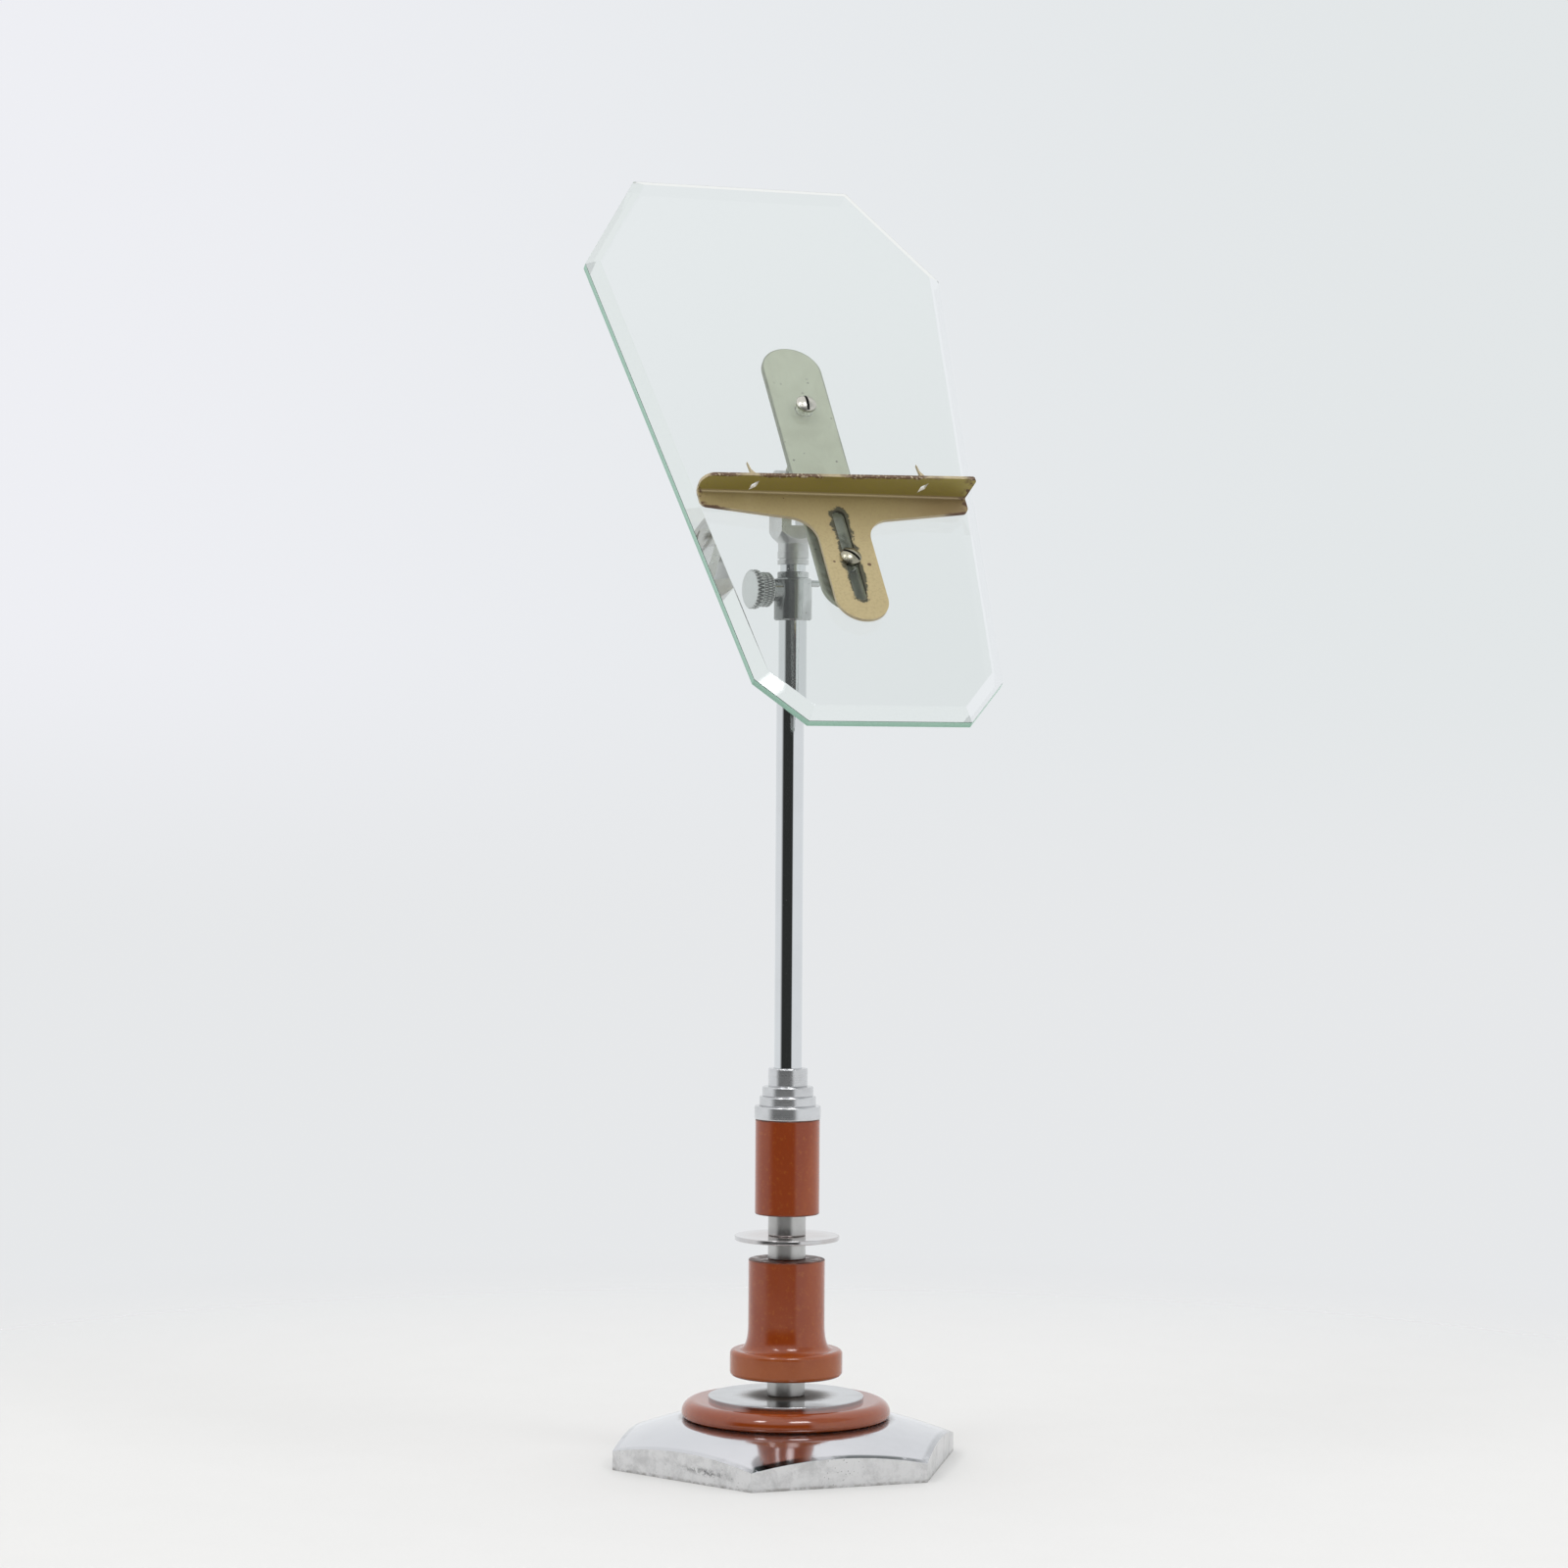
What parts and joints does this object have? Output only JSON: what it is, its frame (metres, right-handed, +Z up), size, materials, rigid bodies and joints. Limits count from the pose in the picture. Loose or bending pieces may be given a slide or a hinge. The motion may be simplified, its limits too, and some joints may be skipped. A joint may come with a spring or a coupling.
{
  "type": "eyeglasses display stand",
  "caption": "Telescopic counter stand with a six-sided foot, a turned stack and a tilting glass panel whose sliding shelf and prongs hold a pair of glasses",
  "frame": {"origin": "middle of the foot's underside, on the axis of the column", "axes": "+Z up the column; the glass panel faces -Y and leans back towards +Y; +X to the right for someone facing the glass, so the clamp's thumb screw is on the -X side"},
  "size_m": [0.1356, 0.1598, 0.4599],
  "materials": {
    "chrome": "polished chrome plate, lightly scuffed and pitted",
    "satin_chrome": "turned satin plate",
    "satin_nickel": "satin nickel plate with small pits",
    "plain_steel": "plain steel fasteners",
    "amber_bakelite": "semi-gloss red-brown phenolic",
    "gold_paint": "champagne gold enamel, chipped on the edges",
    "clear_glass": "clear bevelled plate glass with greenish edges"
  },
  "bodies": {
    "base": {"hex_base": "chrome", "tie_washer": "plain_steel", "tie_nut": "plain_steel", "tie_rod": "plain_steel", "base_ring": "amber_bakelite", "wide_washer": "chrome", "lower_spacer": "satin_chrome", "bell": "amber_bakelite", "middle_spacer": "satin_chrome", "thin_disc": "chrome", "upper_spacer": "satin_chrome", "grip_cylinder": "amber_bakelite", "stepped_collar": "satin_chrome", "column_tube": "chrome", "clamp_sleeve": "chrome", "guide_bush": "chrome", "sleeve_pin": "chrome"},
    "clamp": {"thumb_screw": "satin_chrome"},
    "mast": {"inner_rod": "chrome"},
    "head": {"swivel_head": "satin_chrome", "tilt_bolt": "satin_chrome", "spring_washer": "plain_steel", "tilt_nut": "satin_chrome"},
    "panel": {"tilt_lug": "satin_nickel", "back_strap": "satin_nickel", "glass_panel": "clear_glass", "upper_screw": "satin_nickel", "lower_screw": "satin_nickel", "panel_nuts": "plain_steel"},
    "shelf": {"shelf_bracket": "gold_paint"}
  },
  "joints": [
    {"name": "height_slide", "type": "slide", "parent": "base", "child": "mast", "axis": [0, 0, 1], "range_m": [0, 0.12]},
    {"name": "head_swivel", "type": "hinge", "parent": "mast", "child": "head", "pos_m": [0, 0, 0.343], "axis": [0, 0, 1], "continuous": true},
    {"name": "panel_tilt", "type": "hinge", "parent": "head", "child": "panel", "pos_m": [0, 0, 0.343], "axis": [1, 0, 0], "range_deg": [-48, 38]},
    {"name": "shelf_slide", "type": "slide", "parent": "panel", "child": "shelf", "axis": [0, 0.6225, 0.7826], "range_m": [-0.019, 0.0165]},
    {"name": "clamp_turn", "type": "hinge", "parent": "base", "child": "clamp", "pos_m": [0, 0, 0.3074], "axis": [-0.9925, -0.1219, 0], "range_deg": [0, 360]}
  ]
}
